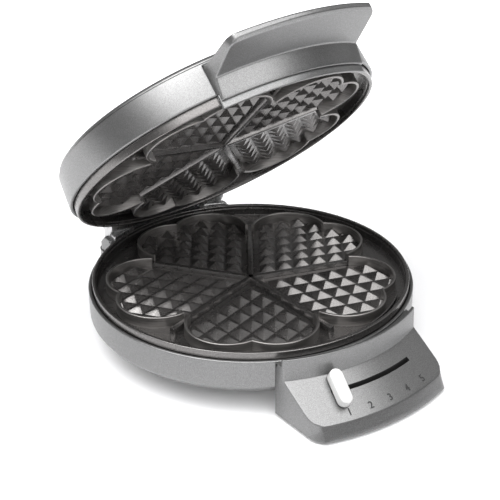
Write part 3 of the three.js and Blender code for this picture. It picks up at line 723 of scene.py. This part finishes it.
def add_heart_floor(bm, place):
    """The flat floor of a heart, a little above the moat's."""
    levels = [(MOAT_Z - 0.5, -0.1), (HEART_FLOOR_Z - 0.25, -0.1), (HEART_FLOOR_Z, 0.15)]
    add_stack(bm, heart(), levels, place)


def add_heart_walls(bm, place):
    """The raised wall round each lobe, from near the divider to the cleft between the lobes."""
    top = 0.7
    wall = rounded(
        [
            (LOBE_R, MOAT_Z - 0.8, 0),
            (LOBE_R + HEART_WALL, MOAT_Z - 0.8, 0),
            (LOBE_R + HEART_WALL, WALL_TOP_Z, top),
            (LOBE_R, WALL_TOP_Z, top),
        ]
    )
    gap = math.radians(14)
    cleft = math.asin(LOBE_V / (LOBE_R + HEART_WALL / 2))
    shoulder = HALF_WEDGE + math.pi / 2 - gap
    for side in (-1, 1):
        lobe = place @ Matrix.Translation((LOBE_U, side * LOBE_V, 0))
        add_arc(bm, wall, side * -cleft, side * shoulder, 40, lobe)


def add_divider(bm, place):
    """The low ridge between two hearts, with sloping sides."""
    outline = [
        (0, -DIVIDER_HALF),
        (DIVIDER_END_R - 1, -DIVIDER_HALF),
        (DIVIDER_END_R, -DIVIDER_HALF + 1),
        (DIVIDER_END_R, DIVIDER_HALF - 1),
        (DIVIDER_END_R - 1, DIVIDER_HALF),
        (0, DIVIDER_HALF),
    ]
    levels = [
        (MOAT_Z - 0.5, 0.05),
        (MOAT_Z + 0.2, 0.1),
        (DIVIDER_TOP_Z - 0.35, 0.72),
        (DIVIDER_TOP_Z - 0.1, 0.85),
        (DIVIDER_TOP_Z, 1.1),
    ]
    add_stack(bm, outline, levels, place)


def plate_mesh(turn_over):
    """A pan with its lip, the hearts' floors and pyramids, the dividers and the front ribs."""
    bm = bmesh.new()
    pan = rounded(
        [
            (0, PLATE_UNDER, 0),
            (104.5, PLATE_UNDER, 2),
            (PLATE_R, 37, 1.5),
            (PLATE_R, LIP_TOP, 0.7),
            (LIP_INNER_R, LIP_TOP, 0.7),
            (LIP_INNER_R, 42.4, 0.2),
            (LIP_INNER_R - 0.5, 41.9, 0.2),
            (LIP_INNER_R - 0.5, MOAT_Z, 0.4),
            (0, MOAT_Z, 0),
        ]
    )
    add_ring(bm, pan)
    grid = range(7)
    for k in range(HEARTS):
        bearing = FIRST_HEART + k * HEART_STEP
        place = Matrix.Rotation(bearing, 4, "Z")
        add_heart_floor(bm, place)
        add_divider(bm, Matrix.Rotation(bearing + HALF_WEDGE, 4, "Z"))
        for i in grid:
            for j in grid:
                add_pyramid(bm, i, j, place)
    front = -math.pi / 2
    reach = math.radians(36)
    for inner, outer, top in ((102.2, 103.2, 41.6), (103.9, 104.7, 40.4)):
        rib = rounded([(inner, 36, 0), (outer, 36, 0), (outer, top, 0.35), (inner, top, 0.35)])
        add_arc(bm, rib, front - reach, front + reach, 60)
    if turn_over:
        bm.transform(turned_over)
    return bm


def wall_mesh(turn_over):
    """The walls round all the hearts of a plate."""
    bm = bmesh.new()
    for k in range(HEARTS):
        add_heart_walls(bm, Matrix.Rotation(FIRST_HEART + k * HEART_STEP, 4, "Z"))
    if turn_over:
        bm.transform(turned_over)
    return bm


def make_plates(coating, painted_sheen_coating):
    add_piece(plate_mesh(False), "waffle_plate_lower", [coating], "base", ["lower_plate"])
    upper = plate_mesh(True)
    add_piece(upper, "waffle_plate_upper", [coating], "lid", ["upper_plate"])
    # the heart walls take the lighter coating: painted sheen for the light the walls catch
    add_piece(wall_mesh(False), "heart_walls_lower", [painted_sheen_coating], "base", [])
    add_piece(wall_mesh(True), "heart_walls_upper", [painted_sheen_coating], "lid", [])


# ---------- Base ----------


def make_casing(paint):
    bm = bmesh.new()
    outline = rounded(
        [
            (72, BOWL_FOOT, 0),
            (86, BOWL_FOOT, 2),
            (106.5, 15.4, 9),
            (BODY_R, BAND_FOOT, 4),
            (BODY_R, BAND_TOP, 0.9),
            (109.8, BAND_TOP, 0.5),
            (109.8, 30.9, 0),
            (97, 30.9, 0.4),
            (97, 28.4, 0.4),
            (109.4, 28.4, 0),
            (109.4, BAND_FOOT + 0.8, 2),
            (104.6, 17.6, 3),
            (85.6, 8.2, 2),
            (72, 8.2, 0),
        ],
        6,
    )
    add_ring(bm, outline)
    add_piece(bm, "base_casing", [paint], "base", ["base_shell"])


def make_bottom_cover(plastic):
    """The round cover under the bowl, with three shallow grooves."""
    bm = bmesh.new()
    low, high = mm("bottom_cover")[0].z, mm("bottom_cover")[1].z
    outer = mm("bottom_cover")[1].x
    grooves = []
    for r in (66, 50, 34):
        grooves += [
            (r + 1.2, low, 0.2),
            (r + 0.8, low + 0.7, 0.2),
            (r - 0.8, low + 0.7, 0.2),
            (r - 1.2, low, 0.2),
        ]
    outline = rounded([(0, high, 0), (outer, high, 0.3), (outer, low, 0.6), *grooves, (0, low, 0)])
    add_ring(bm, outline, 128)
    add_piece(bm, "underside_cover", [plastic], "base", ["bottom_cover"])


def make_control_housing(paint, slot_shade_material, ink):
    bm = bmesh.new()
    outline = rounded(
        [
            (BODY_R + 0.4, HOUSING_FOOT, 0),
            (TAB_FOOT_R - 0.02, HOUSING_FOOT, 0.7),
            (147, 11.9, 1.6),
            (*SLOPE_TOP, 1.0),
            (TAB_WALL_R, TAB_WALL_TOP, 0.6),
            (TAB_WALL_R - 2, TAB_WALL_TOP, 0.6),
            (TAB_WALL_R - 2, BAND_TOP - 0.3, 0.3),
            (BODY_R + 0.4, BAND_TOP - 0.3, 0.5),
        ]
    )
    front_top_r, front_top = 147.2, 11.6
    lean = (TAB_FOOT_R - front_top_r) / (front_top - HOUSING_FOOT)

    def half(r, z):
        """Half width, with the corners following the leaning front face."""
        reach = TAB_FOOT_R - (min(max(z, HOUSING_FOOT), front_top) - HOUSING_FOOT) * lean
        return corner_half(TAB_HALF, TAB_CORNER, max(r, reach))(r)

    add_sweep(bm, outline, *both_ways(half), FRONT, edge=0.6, steps=72)
    materials = [paint, slot_shade_material]
    housing = add_piece(bm, "control_tab", materials, "base", ["control_housing"])
    carve_slot(housing)
    for number in range(1, 6):
        angle = DIGIT_MIDDLE + (number - 3) * DIGIT_STEP
        add_digit(str(number), angle, ink)


def slope_height(r):
    """The height of the tab's slope at a distance from the body's axis."""
    return SLOPE_TOP[1] - (r - SLOPE_TOP[0]) * math.tan(SLOPE)


def carve_slot(housing):
    """Cuts the slider's slot into the slope and gives its walls and floor the second material, near-black paint
    that stands in for the shade inside the slot.
    """
    groove = bmesh.new()
    inner, outer = SLOT_R - SLOT_HALF, SLOT_R + SLOT_HALF
    floor, above = 18.5, 40
    walls = [(inner, floor), (outer, floor), (outer, above), (inner, above)]
    front = -math.pi / 2
    add_arc(groove, walls, front - SLOT_REACH, front + SLOT_REACH, 40)
    carve(housing, groove)
    # faces inside the slot get the near-black material: painted shade of the slot's depth
    for face in housing.data.polygons:
        spot = (face.center - Vector((0, AXIS_Y, 0))) / MM
        r = math.hypot(spot.x, spot.y)
        in_slot = abs(r - SLOT_R) < SLOT_HALF + 0.02 and abs(spot.x) < 34
        below_slope = 17 < spot.z < slope_height(r) - 0.6
        face.material_index = 1 if in_slot and below_slope else 0


def add_digit(text, angle, ink):
    """A printed numeral on the slope, upright towards the body."""
    size = DIGIT_HEIGHT / DIGIT_SHARE
    data = bpy.data.curves.new("digit_" + text, "FONT")
    data.body = text
    data.size = size
    data.offset = 0.012 * size
    data.extrude = 0.03
    data.align_x = "CENTER"
    data.align_y = "CENTER"
    writer = bpy.data.objects.new("writer", data)
    scene.collection.objects.link(writer)
    bpy.context.view_layer.update()
    graph = bpy.context.evaluated_depsgraph_get()
    mesh = bpy.data.meshes.new_from_object(writer.evaluated_get(graph))
    bpy.data.objects.remove(writer)
    outwards = Vector((math.cos(angle), math.sin(angle), 0))
    along = Vector((-math.sin(angle), math.cos(angle), 0))
    upwards = -outwards * math.cos(SLOPE) + Vector((0, 0, math.sin(SLOPE)))
    normal = along.cross(upwards)
    spot = outwards * DIGIT_R + Vector((0, 0, slope_height(DIGIT_R))) + normal * 0.02
    turn = Matrix((along, upwards, normal)).transposed().to_4x4()
    mesh.transform(base_place @ Matrix.Translation(spot) @ turn)
    add_object(mesh, "numeral_" + text, [ink], "base", [])


def plan(half, corner, reach, back, steps=16):
    """A cover's outline seen from above, in front of the body."""
    width = corner_half(half, corner, reach)
    first = math.hypot(half, back)
    radii = [first + (reach - first) * (k / steps) ** 0.5 for k in range(steps + 1)]
    left = [(-width(r), -math.sqrt(r * r - width(r) ** 2)) for r in radii]
    end = math.asin(width(reach) / reach)
    arc = [-end + 2 * end * k / 24 for k in range(1, 24)]
    middle = [(reach * math.sin(a), -reach * math.cos(a)) for a in arc]
    right = [(-x, y) for x, y in reversed(left)]
    return [*left, *middle, *right]


def make_under_covers(plastic):
    """The covers under the tab and under the rear housing, a little proud of the housings."""
    low, high = HOUSING_FOOT - 0.15, HOUSING_FOOT + 0.4
    back = 113.5
    bm = bmesh.new()
    outline = plan(TAB_HALF - 2.7, 9.3, TAB_FOOT_R - 3.8, back)
    add_stack(bm, outline, soft_levels(low, high, 0.12))
    add_piece(bm, "control_cover", [plastic], "base", ["control_bottom_cover"])
    bm = bmesh.new()
    outline = plan(REAR_HALF - 2.7, 7.3, REAR_R - 2.7, back)
    add_stack(bm, outline, soft_levels(low, high, 0.12), Matrix.Rotation(math.pi, 4, "Z"))
    add_piece(bm, "rear_cover", [plastic], "base", ["rear_bottom_cover"])


def keyhole(radius, down, y_low, y_high, steps=28):
    """A knuckle's (y, z) outline: round on top, running down between two sides."""
    points = [(y_low, -down), (y_high, -down)]
    start = -math.acos(y_high / radius)
    end = math.pi + math.acos(-y_low / radius)
    for k in range(steps + 1):
        a = start + (end - start) * k / steps
        points.append((radius * math.cos(a), radius * math.sin(a)))
    return points


def across(y, z):
    """Turns a stack on its side, so that its levels run along +X and its outline is (y, z)."""
    turn = Matrix(((0, 0, 1, 0), (1, 0, 0, 0), (0, 1, 0, 0), (0, 0, 0, 1)))
    return Matrix.Translation((0, y, z)) @ turn


def make_rear_housing(paint):
    bm = bmesh.new()
    block = rounded(
        [
            (BODY_R + 0.4, HOUSING_FOOT, 0),
            (REAR_R, HOUSING_FOOT, 0.6),
            (REAR_R, SADDLE_Z, 1.6),
            (BODY_R + 0.4, SADDLE_Z, 0.3),
        ],
        5,
    )
    sides = both_ways(corner_half(REAR_HALF, REAR_CORNER, REAR_R))
    add_sweep(bm, block, *sides, REAR, edge=0.8)
    tower = rounded(
        [
            (BODY_R + 0.4, SADDLE_Z - 2, 0),
            (126, SADDLE_Z - 2, 0),
            (126, 37.5, 2),
            (121, 43, 2),
            (BODY_R + 0.4, 43, 0.4),
        ]
    )
    for side in (-1, 1):
        near, far = sorted((side * TOWER_IN, side * TOWER_OUT))
        add_sweep(bm, tower, upright(near), upright(far), REAR, edge=0.8, steps=10)
    add_piece(bm, "rear_block", [paint], "base", ["rear_housing"])


def make_hinge_sides(metal_bright):
    """The bar, the knuckle and the pin at each side of the hinge."""
    for side, word in ((-1, "left"), (1, "right")):
        near, far = sorted((side * TOWER_IN, side * KNUCKLE_OUT))
        bm = bmesh.new()
        bar = rounded([(109.9, 39.9, 0), (115, 39.9, 0), (115, 46.2, 0.8), (109.9, 46.2, 0.8)])
        add_sweep(bm, bar, upright(near), upright(far), REAR, edge=0.5, steps=12)
        add_piece(bm, "hinge_bar_" + word, [metal_bright], "base", [])
        bm = bmesh.new()
        outline = keyhole(KNUCKLE_R, 12.5, -4.4, 4.4)
        add_stack(bm, outline, soft_levels(near, far, 0.7), across(HINGE_Y, HINGE_Z))
        add_piece(bm, "hinge_knuckle_" + word, [metal_bright], "base", [])
        bm = bmesh.new()
        near, far = sorted((side * 19, side * (KNUCKLE_OUT + 0.5)))
        add_stack(bm, circle(PIN_R, 32), soft_levels(near, far, 0.4), across(HINGE_Y, HINGE_Z))
        add_piece(bm, "pin_" + word, [metal_bright], "base", ["hinge_pin_" + word])


def make_hinge_screen(plastic):
    """The dark rim that closes the gap under the hinge's barrel, a painted shade for the shadowed gap there."""
    bm = bmesh.new()
    rim = rounded([(109.9, 39.9, 0), (111.9, 39.9, 0), (111.9, 45.4, 0.5), (109.9, 45.4, 0.5)])
    add_sweep(bm, rim, upright(-BARREL_HALF), upright(BARREL_HALF), REAR, edge=0.3, steps=24)
    add_piece(bm, "hinge_gap_painted_shade", [plastic], "base", [])


def make_cord_gland(rubber):
    bm = bmesh.new()
    outline = rounded(
        [(3.3, -4, 0.3), (6, -4, 0.3), (6, 0.3, 0), (8.5, 0.3, 0.3), (8.2, 1.5, 0.6), (3.3, 1.5, 0.7)]
    )
    low, high = mm("cord_gland")
    spot = Matrix.Translation((0, REAR_R, (low.z + high.z) / 2))
    add_ring(bm, outline, 64, spot @ Matrix.Rotation(-math.pi / 2, 4, "X"))
    add_piece(bm, "gland", [rubber], "base", ["cord_gland"])


def make_feet(rubber):
    for place in ("front_left", "front_right", "rear_left", "rear_right"):
        node = "foot_" + place
        low, high = mm(node)
        radius = (high.x - low.x) / 2
        outline = rounded(
            [
                (0, 0, 0),
                (radius - 2.4, 0, 0.1),
                (radius - 2, 0.35, 0.1),
                (radius - 1.4, 0, 0.1),
                (radius - 0.3, 0, 0.25),
                (radius, high.z, 0.1),
                (0, high.z, 0),
            ]
        )
        bm = bmesh.new()
        add_ring(bm, outline, 48, middle_of(low, high))
        add_piece(bm, "rubber_" + node, [rubber], "base", [node])


def crossed_recess():
    """The outline of a crossed recess, arm by arm."""
    arm = [
        (RECESS_HALF, RECESS_HALF),
        (RECESS_REACH, RECESS_HALF),
        (RECESS_REACH, -RECESS_HALF),
        (RECESS_HALF, -RECESS_HALF),
    ]
    turns = [Matrix.Rotation(-math.pi / 2 * k, 2) for k in range(4)]
    return [tuple(turn @ Vector(corner)) for turn in turns for corner in arm]


def add_screw_face(bm, rim_row, rim, mouth_row, recess):
    """The flat of a screw's head, between its rim and its recess."""
    count = len(rim)
    coords = [Vector(p) for p in [*rim, *recess]]
    edges = [(k, (k + 1) % count) for k in range(count)]
    edges += [(count + k, count + (k + 1) % len(recess)) for k in range(len(recess))]
    points, _, faces, sources, *_ = delaunay_2d_cdt(coords, edges, [], 0, 1e-5)
    verts = [*rim_row, *mouth_row]
    for face in faces:
        middle = sum((points[v] for v in face), Vector((0, 0))) / 3
        near, far = sorted((abs(middle.x), abs(middle.y)))
        if far >= RECESS_REACH or near >= RECESS_HALF:
            bm.faces.new([verts[sources[v][0]] for v in face])


def make_cover_screws(steel):
    """The screws that show under the object, each with a crossed recess in its head."""
    names = [f"bottom_cover_screw_{n}" for n in (1, 2, 3)]
    names += [f"{part}_cover_screw_{n}" for part in ("control", "rear") for n in (1, 2)]
    recess = crossed_recess()
    for name in names:
        low, high = mm(name)
        spot = middle_of(low, high)
        radius = (high.x - low.x) / 2
        shank = radius - SCREW_R
        levels = [
            (high.z, shank),
            (low.z + 1.3, shank),
            (low.z + 1.3, 0.1),
            (low.z + 0.5, 0),
            (low.z + 0.15, 0.5),
            (low.z, 1.1),
        ]
        rim = circle(radius, 48)
        bm = bmesh.new()
        loops = []
        for z, shrink in levels:
            points = inset(rim, shrink) if shrink else rim
            loops.append([bm.verts.new(spot @ Vector((x, y, z))) for x, y in points])
        for one, other in zip(loops, loops[1:]):
            bridge(bm, one, other)
        add_cap(bm, loops[0], inset(rim, shank))
        mouth = [bm.verts.new(spot @ Vector((x, y, low.z))) for x, y in recess]
        floor = [bm.verts.new(spot @ Vector((x * 0.8, y * 0.8, low.z + 0.7))) for x, y in recess]
        bridge(bm, mouth, floor)
        add_cap(bm, floor, recess)
        add_screw_face(bm, loops[-1], inset(rim, levels[-1][1]), mouth, recess)
        add_piece(bm, name.replace("screw", "fixing"), [steel], "base", [name])


# ---------- Slider ----------


def make_knob(plastic):
    bm = bmesh.new()
    length, width, thick, lift = 24.4, 9, 6.5, 0.7
    straight = (length - width) / 2
    outline = []
    for centre, start in ((straight, -math.pi / 2), (-straight, math.pi / 2)):
        for k in range(17):
            a = start + math.pi * k / 16
            outline.append((centre + width / 2 * math.cos(a), width / 2 * math.sin(a)))
    levels = [(lift, 0.35), (lift + 0.3, 0.05), (lift + thick * 0.5, 0.0)]
    for k in range(5):
        t = math.pi / 2 * k / 4
        levels.append((lift + thick - 0.9 * (1 - math.sin(t)), 0.25 + 0.9 * (1 - math.cos(t))))
    levels.append((lift + thick + 0.12, 2.6))
    place = (
        Matrix.Rotation(KNOB_ANGLE, 4, "Z")
        @ Matrix.Translation((SLOT_R + 0.25, 0, slope_height(SLOT_R)))
        @ Matrix.Rotation(SLOPE, 4, "Y")
    )
    add_stack(bm, split_long(outline, 1.5), levels, place)
    add_piece(bm, "temperature_knob", [plastic], "slider", ["slider_knob"])


# ---------- Lid ----------


def make_lid_band(paint):
    bm = bmesh.new()
    outline = rounded(
        [
            (109.8, LID_BAND_FOOT, 0.5),
            (BODY_R, LID_BAND_FOOT, 0.9),
            (110.7, LID_BAND_TOP, 0.8),
            (107.6, LID_BAND_TOP, 0.3),
            (109.2, 61.6, 0),
            (97, 61.6, 0.4),
            (97, 59.1, 0.4),
            (109.8, 59.1, 0),
        ],
        6,
    )
    add_ring(bm, outline)
    add_piece(bm, "lid_casing", [paint], "lid", ["lid_band"])


def make_lid_cover(paint):
    """The lid's shallow dome, a closed shell with a short rise at its edge."""
    bm = bmesh.new()
    foot = LID_BAND_TOP + 0.3
    dome_r, dome_foot = 104, 77.7
    rise = [(109.9, foot + 0.5), (109.3, foot + 1.7), (107.6, foot + 2.9), (dome_r, dome_foot)]
    dome = []
    for k in range(1, 12):
        r = dome_r * (1 - k / 12)
        dome.append((r, LID_TOP - (LID_TOP - dome_foot) * (r / dome_r) ** 2.2))
    outside = [(110, foot), *rise, *dome, (0, LID_TOP)]
    inside = [(105, foot), (100, 75.6), (69, 77.6), (0, 78.8)]
    add_ring(bm, [*reversed(outside), *inside])
    add_piece(bm, "lid_dome", [paint], "lid", ["lid_cover"])


def make_lamps(red, green, trim):
    """The two indicator lamps, each a domed glass in a dark collar."""
    lamps = (
        (-1, "power_lamp_lens", red, "red_lens"),
        (1, "ready_lamp_lens", green, "green_lens"),
    )
    for side, node, material, slot in lamps:
        spot = Matrix.Translation((side * 9, -88, 0))
        bm = bmesh.new()
        outline = [(0, 75), (3.4, 75), (3.4, 78.6), (3.1, 79.2), (2.4, 79.8), (1.3, 80.2), (0, 80.4)]
        add_ring(bm, outline, 48, spot)
        add_piece(bm, node.replace("lens", "glass"), [material], "lid", [node])
        bm = bmesh.new()
        collar = rounded([(3.5, 77, 0), (4.6, 77, 0), (4.6, 79, 0.4), (3.5, 79.3, 0.3)])
        add_ring(bm, collar, 48, spot)
        add_piece(bm, node.replace("lens", "collar"), [trim], "lid", [])


def make_handle(paint):
    bm = bmesh.new()
    outline = rounded(
        [
            (114.9, 50.3, 0.3),
            (114.9, 45.4, 0.3),
            (116.6, 45.4, 0.6),
            (119.6, 58.8, 1.6),
            (145, 65.2, 1.6),
            (146.9, 67.2, 1.4),
            (146.7, 70.6, 1.4),
            (119.4, 69.4, 14),
            (111.5, 72.2, 0.6),
            (112.2, 62, 0),
            (112.5, 50.3, 0),
        ],
        6,
    )
    sides = both_ways(corner_half(TAB_HALF, 11, 147.4))
    add_sweep(bm, outline, *sides, FRONT, edge=0.8, steps=72)
    add_piece(bm, "lid_handle", [paint], "lid", ["handle"])


def make_handle_trim(paint):
    bm = bmesh.new()
    outline = rounded([(112.6, 41, 0.3), (114.4, 41, 0.5), (114.5, 50, 0.2), (112.6, 50, 0.2)])
    add_sweep(bm, outline, upright(-TAB_HALF), upright(TAB_HALF), FRONT, edge=0.3, steps=56)
    add_piece(bm, "handle_strip", [paint], "lid", ["handle_trim"])


def make_hinge_bracket(plastic):
    """The lid's barrel on the pins, and the arm that joins it to the lid."""
    bm = bmesh.new()
    arm = rounded([(3.4, 3.4, 0.5), (9, 7.5, 2), (9.3, 16.5, 1.5), (3.6, 17.5, 0.4)])
    levels = soft_levels(-BARREL_HALF, BARREL_HALF, 0.5)
    for outline in (arm, circle(BARREL_R, 48)):
        add_stack(bm, outline, levels, across(HINGE_Y, HINGE_Z))
    add_piece(bm, "lid_bracket", [plastic], "lid", ["hinge_bracket"])


# ---------- Inner pieces that keep their CAD shape ----------


def finish_inner_pieces(finishes):
    """Gives every CAD node that still shows a finish by its material slot."""
    slots = {row["node"]: row["material_slot"] for row in frame["record"]["subparts"]}
    for name, node in frame["nodes"].items():
        node.data.materials.clear()
        node.data.materials.append(finishes[slots[name]])


def main():
    make_camera()
    make_studio()
    paint = silver_paint()
    bright = bright_metal()
    coating = non_stick()
    painted_sheen_coating = machined_coating()
    dark = moulded("dark_plastic", (0.03, 0.03, 0.031), 0.45)
    # near-black for the slot's walls and floor: painted shade of the slot's depth
    slot_shade_paint = moulded("slot_painted_shade", (0.006, 0.006, 0.006), 0.7)
    white = moulded("white_plastic", (0.62, 0.62, 0.615), 0.32, 0.05)
    rubber = moulded("rubber", (0.02, 0.02, 0.02), 0.75, 0.3)
    ink = moulded("printed_ink", (0.03, 0.03, 0.03), 0.5)
    steel = metal("steel", grey(0.58), 0.32)
    sheet = metal("reflector_sheet", (0.66, 0.67, 0.68), 0.42, 700)
    ceramic = moulded("ceramic", (0.78, 0.74, 0.66), 0.6)
    sleeve = moulded("lead_sleeve", (0.72, 0.7, 0.62), 0.7, 0.3)
    red = lens("red_lens", (0.5, 0.02, 0.015))
    green = lens("green_lens", (0.02, 0.3, 0.06))

    make_casing(paint)
    make_bottom_cover(dark)
    make_control_housing(paint, slot_shade_paint, ink)
    make_under_covers(dark)
    make_rear_housing(paint)
    make_hinge_sides(bright)
    # a dark rim under the hinge's barrel: painted shade for the gap
    make_hinge_screen(dark)
    make_cord_gland(rubber)
    make_feet(rubber)
    make_cover_screws(steel)
    make_knob(white)
    make_plates(coating, painted_sheen_coating)
    make_lid_band(paint)
    make_lid_cover(paint)
    make_lamps(red, green, dark)
    make_handle(paint)
    make_handle_trim(paint)
    make_hinge_bracket(dark)
    finish_inner_pieces(
        {
            "silver_paint": paint,
            "non_stick": coating,
            "dark_plastic": dark,
            "white_plastic": white,
            "steel": steel,
            "reflector_sheet": sheet,
            "ceramic": ceramic,
            "rubber": rubber,
            "red_lens": red,
            "green_lens": green,
            "lead_sleeve": sleeve,
        }
    )


main()
